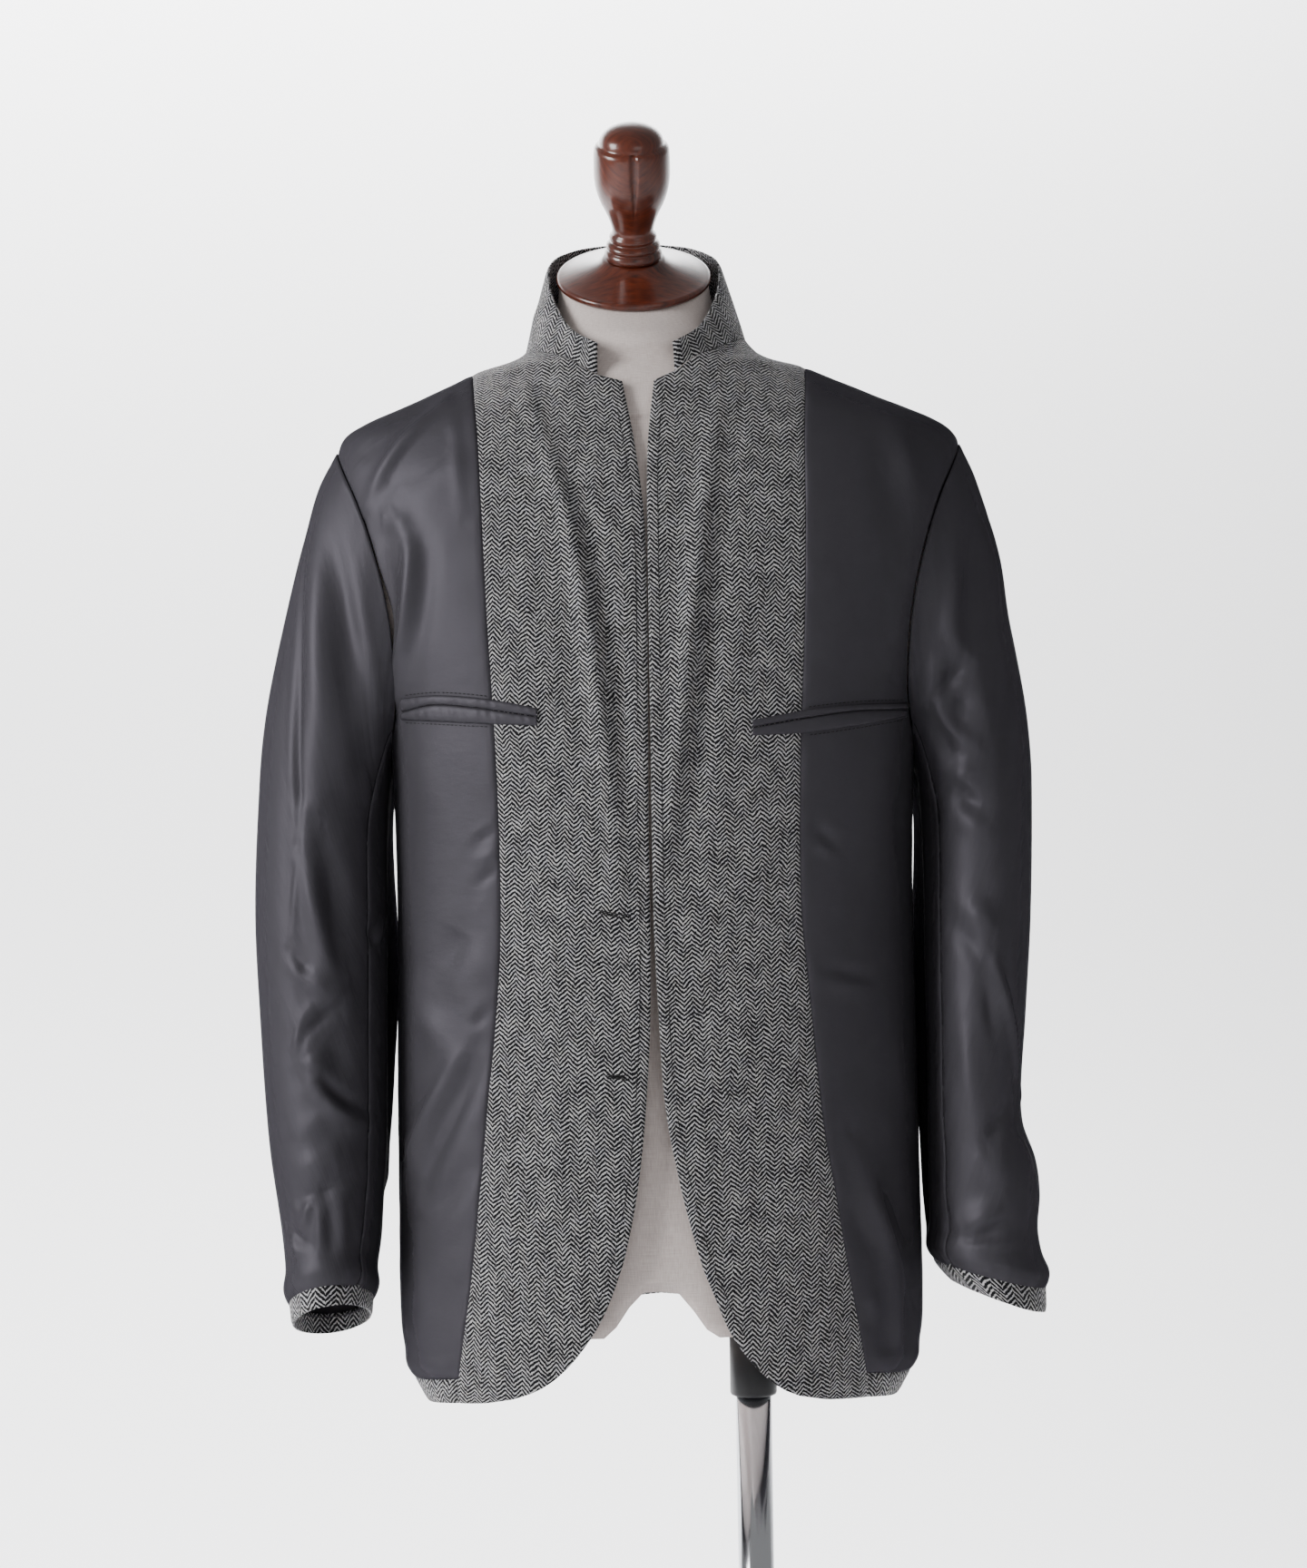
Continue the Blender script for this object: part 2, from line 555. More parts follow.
def on_body(p):
    scale = 1 / body_level(p)
    shift = body_value("shift", p[..., 2])
    return np.stack([shift + (p[..., 0] - shift) * scale, p[..., 1] * scale, p[..., 2]], axis=-1)


def body_at_x(x, z, facing):
    x, z = np.broadcast_arrays(np.asarray(x, float), np.asarray(z, float))
    power = body_value("power", z)
    across = np.minimum(np.abs(x - body_value("shift", z)) / body_value("half_width", z), 1)
    along = (1 - across**power) ** (1 / power)
    depth = body_value("front", z) if facing < 0 else body_value("back", z)
    y = facing * np.maximum(along * depth, 0.001)
    return on_body(np.stack([x, y, z], axis=-1))


def body_at_angle(side, angle, z):
    angle, z = np.broadcast_arrays(np.asarray(angle, float), np.asarray(z, float))
    bend = 2 / body_value("power", z)
    depth = np.where(angle < 90, -body_value("front", z), body_value("back", z))
    x = body_value("shift", z) + side * body_value("half_width", z) * np.abs(sine(angle)) ** bend
    return np.stack([x, depth * np.abs(cosine(angle)) ** bend, z], axis=-1)


def rounded(line):
    """A line with its corners cut off twice, so that it bends softly."""
    for _ in range(2):
        near = lerp(line[:-1], line[1:], 0.25)
        far = lerp(line[:-1], line[1:], 0.75)
        cut = np.stack([near, far], axis=1).reshape(-1, 2)
        line = np.concatenate([line[:1], cut[1:-1], line[-1:]])
    return line


def fold_relief(a, b, folds, stretch=1.0):
    """Height of all folds at flat places. A fold fades at its ends and leaves a shallow hollow
    beside its ridge. stretch turns the second number of a fold's places into millimetres."""
    total = np.zeros_like(a, dtype=float)
    for width, height, *places in folds:
        points = rounded(np.reshape(places, (-1, 2)) * [1.0, stretch])
        low, high = points.min(axis=0) - 4 * width, points.max(axis=0) + 4 * width
        near = (a > low[0]) & (a < high[0]) & (b > low[1]) & (b < high[1])
        if near.any():
            signed, share = place_on_line(np.stack([a[near], b[near]], axis=-1), points)
            fade = np.sin(np.pi * np.clip(share, 0.05, 0.95)) ** 0.6
            hollow = HOLLOW["share"] * bump(signed - HOLLOW["away"] * width, HOLLOW["width"] * width)
            total[near] += height * fade * (bump(signed, width) - hollow)
    return total


def place_on_line(place, points):
    """Signed distance of places from a line, and their share of the way along it."""
    best = np.full(len(place), np.inf)
    signed, share = np.zeros(len(place)), np.zeros(len(place))
    count = len(points) - 1
    for i in range(count):
        step = points[i + 1] - points[i]
        t = np.clip(((place - points[i]) @ step) / (step @ step), 0, 1)
        away = place - points[i] - t[:, None] * step
        distance = length(away)
        closer = distance < best
        turn = np.sign(step[0] * away[:, 1] - step[1] * away[:, 0])
        best = np.where(closer, distance, best)
        signed = np.where(closer, distance * turn, signed)
        share = np.where(closer, (i + t) / count, share)
    return signed, share


def soft_waves(a, b, scale, seed):
    """A slow uneven swell of the cloth, from minus one to one."""
    total = np.zeros_like(a, dtype=float)
    for i in range(5):
        turn = seed * 1.7 + i * 2.4
        size = scale * (0.6 + 0.27 * i)
        total += np.sin((a * math.cos(turn) + b * math.sin(turn)) / size + seed * 3.1 + i * 1.9)
    return total / 5


def at_lengths(points, lengths, wanted):
    return np.stack([np.interp(wanted, lengths, values) for values in points.T], axis=-1)


def resample(points, count):
    points = np.asarray(points, dtype=float)
    lengths = running_length(points)
    return at_lengths(points, lengths, np.linspace(0, lengths[-1], count))


def patch_between(bottom, top, start, end, columns, rows):
    low, high = resample(bottom, columns), resample(top, columns)
    first, last = resample(start, rows), resample(end, rows)
    u = np.linspace(0, 1, columns)[None, :, None]
    v = np.linspace(0, 1, rows)[:, None, None]
    across = lerp(first[:, None], last[:, None], u)
    along = lerp(low[None], high[None], v)
    floor = lerp(low[0], low[-1], u)
    roof = lerp(high[0], high[-1], u)
    return across + along - lerp(floor, roof, v)


def edge_distance(grid):
    """Distance in millimetres from every grid point to each of the four edges."""
    rows, columns = grid.shape[:2]
    left = np.cumsum(np.hstack([np.zeros((rows, 1)), length(np.diff(grid, axis=1))]), axis=1)
    low = np.cumsum(np.vstack([np.zeros((1, columns)), length(np.diff(grid, axis=0))]), axis=0)
    return {"start": left, "end": left[:, -1:] - left, "bottom": low, "top": low[-1:] - low}


def curve(count, start, stop, place):
    return place(np.linspace(start, stop, count))


def ridge_point(side, z):
    z = np.asarray(z, float)
    x = body_value("shift", z) + side * body_value("half_width", z)
    return np.stack([x, np.zeros_like(z), z], axis=-1)


def ridge_height(x):
    def inside(z):
        return abs(x - body_value("shift", z)) < body_value("half_width", z)
    return halve(SHOULDER_Z, NECK_TOP_Z, inside)


def hem_height(angle):
    return from_table(HEM, HEM_COLUMNS, "angle", "z", angle)


def hem_curve(side, start, stop, lift):
    return curve(60, start, stop, lambda a: body_at_angle(side, a, hem_height(a) + lift))


def hem_angle_at(side, x, lift):
    def before(angle):
        return abs(body_at_angle(side, angle, hem_height(angle) + lift)[0]) < abs(x)
    return halve(0.0, 90.0, before, 30)


def edge_x(rows, z):
    return from_table(rows, EDGE_COLUMNS, "z", "x", z)


def curve_by_height(rows, start, stop):
    return curve(160, start, stop, lambda z: body_at_x(edge_x(rows, z), z, -1))


def seam_foot(name, lift):
    rows = FACING_SEAM[name]
    angle = hem_angle_at(SIDES[name], edge_x(rows, rows[0][0] + lift), lift)
    return angle, body_at_angle(SIDES[name], angle, hem_height(angle) + lift)


def facing_seam_curve(name, lift):
    rows = FACING_SEAM[name]
    top_z = ridge_height(rows[-1][1])
    seam = curve_by_height(rows, seam_foot(name, lift)[1][2], top_z - 1.5)
    return np.concatenate([seam, [ridge_point(SIDES[name], top_z)]])


def neck_points(side, angles):
    angles = np.asarray(angles, float)
    depth = np.where(angles < 90, -NECK["front"], NECK["back"])
    x = NECK["shift"] + side * NECK["half_width"] * sine(angles)
    y = depth * np.abs(cosine(angles))

    def inside(z):
        return body_level(np.stack([x, y, z], axis=-1)) < 1
    low = np.full_like(x, NECK_LOW_Z)
    return np.stack([x, y, halve(low, np.full_like(x, NECK_TOP_Z), inside)], axis=-1)


def armhole_points(side, angles):
    middle, half = (SHOULDER_Z + ARMHOLE_FLOOR_Z) / 2, (SHOULDER_Z - ARMHOLE_FLOOR_Z) / 2
    z = middle + half * cosine(angles)
    forward = sine(angles)
    y = np.where(forward > 0, -ARMHOLE_FRONT, -ARMHOLE_BACK) * forward
    power = body_value("power", z)
    depth = np.where(y < 0, body_value("front", z), body_value("back", z))
    across = (1 - (np.abs(y) / depth) ** power) ** (1 / power)
    return np.stack([body_value("shift", z) + side * body_value("half_width", z) * across, y, z], axis=-1)


def side_and_armhole(side, from_z, turn):
    seam = curve(60, from_z, ARMHOLE_FLOOR_Z, lambda z: body_at_angle(side, 90, z))
    hole = curve(90, 180, 180 + turn * 180, lambda a: armhole_points(side, a))
    return np.concatenate([seam, hole[1:]])


def body_relief(p):
    """Folds and slow swell of the cloth on the body's surface."""
    front = fold_relief(p[..., 0], p[..., 2], FRONT_FOLDS) * smooth_step(20, 50, -p[..., 1])
    back = fold_relief(p[..., 0], p[..., 2], BACK_FOLDS) * smooth_step(20, 50, p[..., 1])
    below_seat = 1 - smooth_step(1360, 1410, p[..., 2])
    swell = 0.5 * soft_waves(p[..., 0] + 0.6 * p[..., 1], p[..., 2] * 0.45, 14.0, 2.0)
    relief = front + back + swell * below_seat
    return np.maximum(relief, lerp(LOWEST_FOLD["seat"], LOWEST_FOLD["free"], below_seat))


# Meshes
def facing_out(points, faces):
    """The faces of a closed body, all turned round if they point inwards."""
    volume = 0.0
    for size in {len(face) for face in faces}:
        corners = points[np.array([face for face in faces if len(face) == size])]
        for k in range(1, size - 1):
            across = np.cross(corners[:, k], corners[:, k + 1])
            volume += np.einsum("ij,ij->", corners[:, 0], across)
    return faces if volume > 0 else [tuple(face)[::-1] for face in faces]


def add_mesh(name, points, faces, uvs=None):
    """One object from millimetre points in body coordinates. uvs are in millimetres too, one
    per point."""
    shifted = (np.reshape(points, (-1, 3)) - [POLE_OFFSET, 0, 0]) * MM
    mesh = bpy.data.meshes.new(name)
    mesh.from_pydata(shifted.tolist(), [], facing_out(shifted, faces))
    if uvs is not None:
        layer = mesh.uv_layers.new(name="cloth")
        index = np.empty(len(mesh.loops), dtype=np.int32)
        mesh.loops.foreach_get("vertex_index", index)
        pairs = np.reshape(uvs, (-1, 2))[index] * MM
        layer.uv.foreach_set("vector", np.ascontiguousarray(pairs, dtype=np.float32).ravel())
    mesh.polygons.foreach_set("use_smooth", [True] * len(mesh.polygons))
    mesh.update()
    piece = bpy.data.objects.new(name, mesh)
    bpy.context.scene.collection.objects.link(piece)
    return piece


def grid_faces(rows, columns, start=0, closed=False):
    spans = columns if closed else columns - 1
    j, i = np.meshgrid(np.arange(rows - 1), np.arange(spans), indexing="ij")
    after = (i + 1) % columns
    quads = [j * columns + i, j * columns + after, (j + 1) * columns + after, (j + 1) * columns + i]
    return (np.stack(quads, axis=-1).reshape(-1, 4) + start).tolist()


def rim_faces(rim, offset):
    """Faces between a closed rim and the same rim of the second skin."""
    return [(b, a, a + offset, b + offset) for a, b in zip(rim, rim[1:] + rim[:1])]


def shell(name, outer, normal, uv, thickness=CLOTH_THICKNESS, closed=False):
    """A closed thin sheet of cloth under an outer skin."""
    rows, columns = outer.shape[:2]
    count = rows * columns
    faces = grid_faces(rows, columns, 0, closed)
    faces += [tuple(reversed(face)) for face in grid_faces(rows, columns, count, closed)]
    low = list(range(columns))
    high = [(rows - 1) * columns + i for i in reversed(range(columns))]
    if closed:
        faces += rim_faces(low, count) + rim_faces(high, count)
    else:
        right = [j * columns + columns - 1 for j in range(1, rows - 1)]
        left = [j * columns for j in reversed(range(1, rows - 1))]
        faces += rim_faces(low + right + high + left, count)
    return add_mesh(name, [outer, outer - normal * thickness], faces, [uv, uv])


def pull_in(grid):
    """Moves the outermost rows and columns in, which leaves the gap at a seam."""
    for lines in (grid, grid.swapaxes(0, 1)):
        for edge, inner in ((0, 1), (-1, -2)):
            step = lines[inner] - lines[edge]
            lines[edge] += step * np.minimum(SEAM_INSET / length(step), 0.4)[..., None]


def body_arc(x):
    """Distance along the cloth from the front's middle to a sideways place."""
    steps = np.linspace(-ARC_REACH, ARC_REACH, 800)
    lengths = running_length(body_at_x(steps, ARC_HEIGHT, -1))
    return np.interp(x, steps, lengths) - lengths[-1] / 2


def seam_dip(distance, depth, width):
    return -depth * bump(distance, width)


def seam_puckers(distance, along, seed, height=0.55):
    """Small gathers that run out from a seam."""
    beat = np.sin(along / 5.3 + 1.4 * np.sin(along / 17.0 + seed) + seed)
    second = np.sin(along / 11.0 + 2 * seed)
    return height * (0.6 * beat + 0.4 * second) * np.exp(-distance / 9.0) * (1 - np.exp(-distance / 1.5))


def body_panel(name, edges, cloth):
    """A panel of cloth on the body between its bottom, top, start and end edges, with folds,
    seams and edges worked in. cloth tells which edges are sewn or free and how deep they lie."""
    spacing = cloth["spacing"] * DETAIL
    wide, tall = [max(running_length(line)[-1] for line in pair) for pair in (edges[:2], edges[2:])]
    columns, rows = max(int(wide / spacing), 6), max(int(tall / spacing), 5)
    surface = on_body(patch_between(*edges, columns, rows))
    normal = body_normal(surface)
    distance = edge_distance(surface)
    height = body_relief(surface)
    for edge in cloth["sewn"]:
        along = distance["bottom"] if edge in ("start", "end") else distance["start"]
        height += seam_dip(distance[edge], cloth["seam_depth"], cloth["seam_width"])
        height += seam_puckers(distance[edge], along, len(name) + len(edge), cloth["puckers"])
    for edge in cloth["free"]:
        height += seam_dip(distance[edge], FREE_EDGE["depth"], FREE_EDGE["width"])
    from_seams = np.minimum(distance["start"], distance["end"])
    drop = cloth["drop"] * (1 - bump(from_seams, DROP["fade"]))
    height += drop * bump(distance["bottom"] - DROP["height"], DROP["width"])
    outer = surface + normal * height[..., None]
    pull_in(outer)
    if cloth["strip"]:
        uv = np.stack([distance["start"], distance["bottom"]], axis=-1) * STRIP_GRAIN
    else:
        turn = -np.sign(surface[..., 1].mean())
        rise = np.cumsum(length(np.diff(surface[..., 1:], axis=0)), axis=0)
        up_way = surface[:1, :, 2] + np.vstack([np.zeros((1, columns)), rise])
        uv = np.stack([body_arc(surface[..., 0]) * turn, up_way], axis=-1)
    return shell(name, outer, normal, uv)


def front_place(x, z, lift):
    """A place on the front of the jacket, and the direction out of it."""
    surface = body_at_x(x, z, -1)
    normal = body_normal(surface)
    height = body_relief(surface) + lift
    return surface + normal * height[..., None], normal


def add_bars(name, starts, ends, outs, radius):
    """Many short rounded threads, each from a start to an end."""
    turn = np.linspace(0, 2 * math.pi, BAR_SIDES, endpoint=False)[:, None]
    points, faces = [], []
    for start, end, out in zip(starts, ends, outs):
        axis = unit(end - start)
        across = unit(np.cross(axis, out))
        ring = radius * (np.cos(turn) * across + np.sin(turn) * np.cross(across, axis))
        base = len(points) * BAR_SIDES
        points += [lerp(start, end, along) + size * ring for along, size in BAR_PROFILE]
        faces += grid_faces(len(BAR_PROFILE), BAR_SIDES, base, True)
        last = base + (len(BAR_PROFILE) - 1) * BAR_SIDES
        faces.append(tuple(base + k for k in reversed(range(BAR_SIDES))))
        faces.append(tuple(last + k for k in range(BAR_SIDES)))
    return add_mesh(name, points, faces)


def turned_piece(name, profile, segments, centre, tilt=0.0, shape=None, bored=False):
    """A turned piece from radius and height rows, set at a centre and tilted towards the front.
    A bored piece has a hole right through it."""
    turn = np.linspace(0, 2 * math.pi, segments, endpoint=False)
    rings = []
    for radius, height in profile:
        size = max(radius, LEAST_RADIUS) + (shape(turn, height) if shape else 0)
        y = size * np.sin(turn)
        lean_y = y * cosine(tilt) - height * sine(tilt)
        lean_z = y * sine(tilt) + height * cosine(tilt)
        rings.append(np.stack([size * np.cos(turn), lean_y, lean_z], axis=-1))
    faces = grid_faces(len(profile), segments, 0, True)
    last = (len(profile) - 1) * segments
    first_ring, last_ring = list(range(segments)), list(range(last, last + segments))
    faces += rim_faces(first_ring, last) if bored else [first_ring[::-1], last_ring]
    return add_mesh(name, np.array(rings) + centre, faces)


# Materials
def new_material(name):
    surface = bpy.data.materials.new(name)
    surface.use_nodes = True
    tree = surface.node_tree
    return surface, tree, tree.nodes["Principled BSDF"]


class Wire:
    """A value inside a material, which adds and multiplies like a number."""

    def __init__(self, tree, socket):
        self.tree, self.socket = tree, socket

    def calc(self, operation, other=None):
        node = self.tree.nodes.new("ShaderNodeMath")
        node.operation = operation
        return fed(node, {0: self, 1: other}, 0)

    def __add__(self, other):
        return self.calc("ADD", other)

    def __sub__(self, other):
        return self.calc("SUBTRACT", other)

    def __mul__(self, other):
        return self.calc("MULTIPLY", other)

    def __truediv__(self, other):
        return self.calc("DIVIDE", other)


def fed(node, values, output):
    """Gives a node its inputs, wires, numbers or colours, and returns one of its outputs."""
    tree = node.id_data
    for key, value in values.items():
        if isinstance(value, Wire):
            tree.links.new(value.socket, node.inputs[key])
        elif value is not None:
            node.inputs[key].default_value = value
    return Wire(tree, node.outputs[output])


def blend(factor, low, high):
    node = factor.tree.nodes.new("ShaderNodeMix")
    node.data_type = "RGBA"
    return fed(node, {0: factor, 6: low, 7: high}, 2)


def noise(place, scale, detail=3.0, roughness=0.55):
    node = place.tree.nodes.new("ShaderNodeTexNoise")
    return fed(node, {"Vector": place, "Scale": scale, "Detail": detail, "Roughness": roughness}, "Fac")


def spread(value, low, high):
    node = value.tree.nodes.new("ShaderNodeMapRange")
    return fed(node, {"Value": value, "From Min": low, "From Max": high}, "Result")


def scaled(place, x, y):
    node = place.tree.nodes.new("ShaderNodeVectorMath")
    node.operation = "MULTIPLY"
    return fed(node, {0: place, 1: (x, y, 1.0)}, 0)


def cloth_place(tree):
    """The cloth's own coordinates in millimetres, whole, across the grain and along it."""
    node = tree.nodes.new("ShaderNodeUVMap")
    node.uv_map = "cloth"
    parts = tree.nodes.new("ShaderNodeSeparateXYZ")
    tree.links.new(node.outputs["UV"], parts.inputs[0])
    across, along = [Wire(tree, parts.outputs[axis]) * 1000.0 for axis in "XY"]
    place = fed(tree.nodes.new("ShaderNodeCombineXYZ"), {"X": across, "Y": along}, "Vector")
    return place, across, along


def object_place(tree):
    return Wire(tree, tree.nodes.new("ShaderNodeTexCoord").outputs["Object"])


def set_up(shader, values, height=None, strength=0.0, distance=0.0):
    """Gives a shader its values, and a bump from a height where there is one."""
    if height is not None:
        node = shader.id_data.nodes.new("ShaderNodeBump")
        relief = {"Strength": strength, "Distance": distance, "Height": height}
        values["Normal"] = fed(node, relief, "Normal")
    fed(shader, values, 0)


def rgb(red, green, blue):
    """Linear colour from the 0 to 255 values of a screen colour."""
    parts = np.array([red, green, blue]) / 255
    linear = np.where(parts <= 0.04045, parts / 12.92, ((parts + 0.055) / 1.055) ** 2.4)
    return (*linear.tolist(), 1.0)


def tweed_material():
    """Herringbone: slanting off-white and near-black lines that turn at every column."""
    surface, tree, shader = new_material("herringbone tweed")
    place, across, along = cloth_place(tree)
    across += (noise(place, 0.045, 2.0) - 0.5) * HERRINGBONE["wander"]
    along += (noise(scaled(place, 1.0, 0.5), 0.16, 2.0) - 0.5) * HERRINGBONE["drift"]
    zigzag = across.calc("PINGPONG", HERRINGBONE["column"]) * HERRINGBONE["slant"]
    odd = (across / HERRINGBONE["column"]).calc("FLOOR").calc("FLOORED_MODULO", 2.0)
    phase = (along + zigzag) / HERRINGBONE["pitch"] + odd * HERRINGBONE["break"]
    edge = phase.calc("PINGPONG", 0.5) * 2.0
    for scale, detail, roughness, weight in TWEED_UNEVEN:
        edge += (noise(place, scale, detail, roughness) - 0.5) * weight
    cast = noise(place, 0.11, 2.0)
    dark = blend(cast, rgb(8, 8, 10), rgb(13, 13, 20))
    light = blend(cast, rgb(222, 219, 213), rgb(190, 189, 200))
    set_up(shader, {
        "Base Color": blend(spread(edge, 0.51, 0.87), dark, light), "Roughness": 0.92,
        "Specular IOR Level": 0.12, "Sheen Weight": 0.12, "Sheen Roughness": 0.6,
    }, edge, 0.6, 0.0006)
    return surface


def satin_material():
    """Dark lining: smooth, with a fine cross weave and small uneven creases."""
    surface, tree, shader = new_material("lining satin")
    place = cloth_place(tree)[0]
    cloudy = noise(scaled(place, 1.0, 0.4), 0.02, 3.0)
    thread = noise(scaled(place, 0.5, 3.0), 1.0, 2.0)
    crinkle = noise(scaled(place, 0.5, 1.0), 0.05, 4.0)
    set_up(shader, {
        "Base Color": blend(cloudy * 0.7 + thread * 0.3, rgb(70, 68, 73), rgb(84, 82, 88)),
        "Roughness": 0.55, "Metallic": 0.5, "Specular IOR Level": 0.0,
        "Specular Tint": (0.0, 0.0, 0.0, 1.0),
    }, thread * 0.06 + crinkle, 0.3, 0.0016)
    return surface


def linen_material():
    """Plain weave with thick and thin threads."""
    surface, tree, shader = new_material("linen")
    place, across, along = cloth_place(tree)
    fine, long, count = LINEN_THREAD.values()
    threads = noise(scaled(place, fine, long), 1.0, 2.0) + noise(scaled(place, long, fine), 1.0, 2.0)
    check = (across * count).calc("SINE") * (along * count).calc("SINE")
    tone = spread(threads * 0.5 + check * 0.06, 0.3, 0.7)
    set_up(shader, {
        "Base Color": blend(tone, rgb(206, 190, 184), rgb(246, 235, 230)), "Roughness": 0.9,
        "Specular IOR Level": 0.2, "Sheen Weight": 0.2,
    }, tone, 0.4, 0.0003)
    return surface


def mahogany_material():
    surface, tree, shader = new_material("mahogany")
    place = object_place(tree)
    grain = noise(scaled(place, 40.0, 260.0), 2.4, 4.0, 0.65)
    tone = spread(grain * 0.6 + noise(place, 16.0, 3.0) * 0.4, 0.35, 0.68)
    set_up(shader, {
        "Base Color": blend(tone, rgb(44, 14, 8), rgb(112, 48, 26)), "Roughness": 0.3,
        "Coat Weight": 0.6, "Coat Roughness": 0.12,
    })
    return surface


def plain_material(name, colour, roughness, metallic=0.0, scale=60.0, variation=0.06):
    """One colour with a faint unevenness in its roughness."""
    surface, tree, shader = new_material(name)
    uneven = noise(object_place(tree), scale, 2.0) * variation + roughness
    set_up(shader, {"Roughness": uneven, "Base Color": colour, "Metallic": metallic})
    return surface


# Jacket body
def facing(name, side_name):
    side = SIDES[side_name]
    edge_rows, seam_rows = FRONT_EDGE[side_name], FACING_SEAM[side_name]
    foot_z, foot_x = edge_rows[0]
    seam_x = seam_rows[0][1]
    seam_top_z = ridge_height(seam_rows[-1][1])
    start = curve_by_height(edge_rows, foot_z, LAPEL_TOP_Z)
    seam_foot_point = body_at_x(seam_x, seam_foot(side_name, 0.0)[1][2], -1)
    end = np.concatenate([[seam_foot_point], facing_seam_curve(side_name, HEM_STRIP)])
    share = np.linspace(0, 1, 40)
    bottom = body_at_x(lerp(foot_x, seam_x, share), lerp(foot_z, seam_foot_point[2], share), -1)
    neck_z = float(neck_points(side, [90])[0, 2])
    top = np.concatenate([
        start[-1:],
        curve(60, NECK["start"], 90, lambda a: neck_points(side, a)),
        curve(40, neck_z, seam_top_z, lambda z: ridge_point(side, z)),
    ])
    return body_panel(name, (bottom, top, start, end), TWEED_FACING)


def front_lining(name, side_name):
    side = SIDES[side_name]
    bottom = hem_curve(side, seam_foot(side_name, HEM_STRIP)[0], 90, HEM_STRIP)
    start = facing_seam_curve(side_name, HEM_STRIP)
    end = side_and_armhole(side, bottom[-1, 2], -1)
    top = curve(40, start[-1, 2], SHOULDER_Z, lambda z: ridge_point(side, z))
    return body_panel(name, (bottom, top, start, end), SATIN_FRONT)


def back_lining(name, side_name):
    side = SIDES[side_name]
    bottom = hem_curve(side, 180, 90, HEM_STRIP)
    neck_z = float(neck_points(side, [90])[0, 2])
    start = curve(80, bottom[0, 2], neck_points(side, [180])[0, 2], lambda z: body_at_angle(side, 180, z))
    end = side_and_armhole(side, bottom[-1, 2], 1)
    top = np.concatenate([
        curve(60, 180, 90, lambda a: neck_points(side, a)),
        curve(40, neck_z, SHOULDER_Z, lambda z: ridge_point(side, z)),
    ])
    return body_panel(name, (bottom, top, start, end), SATIN_BACK)


def hem_strip(name, side_name, part):
    side = SIDES[side_name]
    low, high = (seam_foot(side_name, 0.0)[0], seam_foot(side_name, HEM_STRIP)[0])
    if part == "back":
        low = high = 90
    stop = 90 if part == "front" else 180
    bottom = hem_curve(side, low, stop, 0.0)
    top = hem_curve(side, high, stop, HEM_STRIP)
    edges = (bottom, top, np.array([bottom[0], top[0]]), np.array([bottom[-1], top[-1]]))
    return body_panel(name, edges, TWEED_HEM)


def collar_place(turn, h):
    side = np.where(turn < 0, -1.0, 1.0)
    angle = 180 - np.abs(turn)
    foot = neck_points(side, angle)
    foot[..., 2] += COLLAR_LIFT

    def value(name):
        return from_table(COLLAR_TOP, COLLAR_COLUMNS, "angle", name, angle)
    x = COLLAR_TOP_SHIFT + side * value("half_width") * sine(angle)
    crown = np.stack([x, -value("depth") * cosine(angle), value("z")], axis=-1)
    out = np.stack([side * sine(angle), -cosine(angle), np.zeros_like(angle)], axis=-1)
    bulge = COLLAR_BULGE * 4 * h * (1 - h) * (crown[..., 2] - foot[..., 2]) / 90
    return lerp(foot, crown, h[..., None]) + out * bulge[..., None]


def collar(name):
    reach = 180 - NECK["start"]
    columns, rows = int(COLLAR["columns"] / DETAIL), int(COLLAR["rows"] / DETAIL)
    turn, h = np.meshgrid(np.linspace(-reach, reach, columns), np.linspace(0, 1, rows))
    grid = collar_place(turn, h)
    normal = unit(np.cross(np.gradient(grid, axis=1), np.gradient(grid, axis=0)))
    normal *= np.sign(normal[rows // 2, columns // 2, 1])
    distance = edge_distance(grid)
    around = turn * COLLAR_ARC
    height = fold_relief(around, distance["bottom"], COLLAR_FOLDS)
    height += COLLAR["swell"] * soft_waves(around, distance["bottom"], 16.0, 5.0)
    for edge in ("start", "end", "top"):
        height += seam_dip(distance[edge], COLLAR["edge_depth"], COLLAR["edge_width"])
    outer = grid + normal * height[..., None]
    pull_in(outer)
    return shell(name, outer, normal, np.stack([around, distance["bottom"]], axis=-1))


# Sleeves
def sleeve_ring(side_name, along, angle):
    rings = SLEEVE_RINGS[side_name]
    steps, outer_z, inner_z, slopes = [column(rings, RING_COLUMNS, name) for name in RING_COLUMNS]
    outer_z, inner_z = np.interp(along, steps, outer_z), np.interp(along, steps, inner_z)
    k = np.clip(np.floor(along).astype(int), 0, 2)
    slope = lerp(slopes[k], slopes[k + 1], (along - k) ** 2)
    outer_x = edge_x(SLEEVE_OUTER[side_name], outer_z)
    inner_x = edge_x(SLEEVE_INNER[side_name], np.minimum(inner_z, ARMHOLE_FLOOR_Z))
    out_share, front_share = cosine(angle), sine(angle)
    middle_z = (outer_z + inner_z) / 2
    depth = from_table(SLEEVE_DEPTH, DEPTH_COLUMNS, "z", "half", middle_z)
    y = from_table(SLEEVE_DEPTH, DEPTH_COLUMNS, "z", "centre", middle_z) - depth * front_share
    x = (outer_x + inner_x) / 2 + (outer_x - inner_x) / 2 * out_share
    z = middle_z + (outer_z - inner_z) / 2 * out_share + slope * depth * front_share
    return np.stack([SIDES[side_name] * x, y, z], axis=-1)


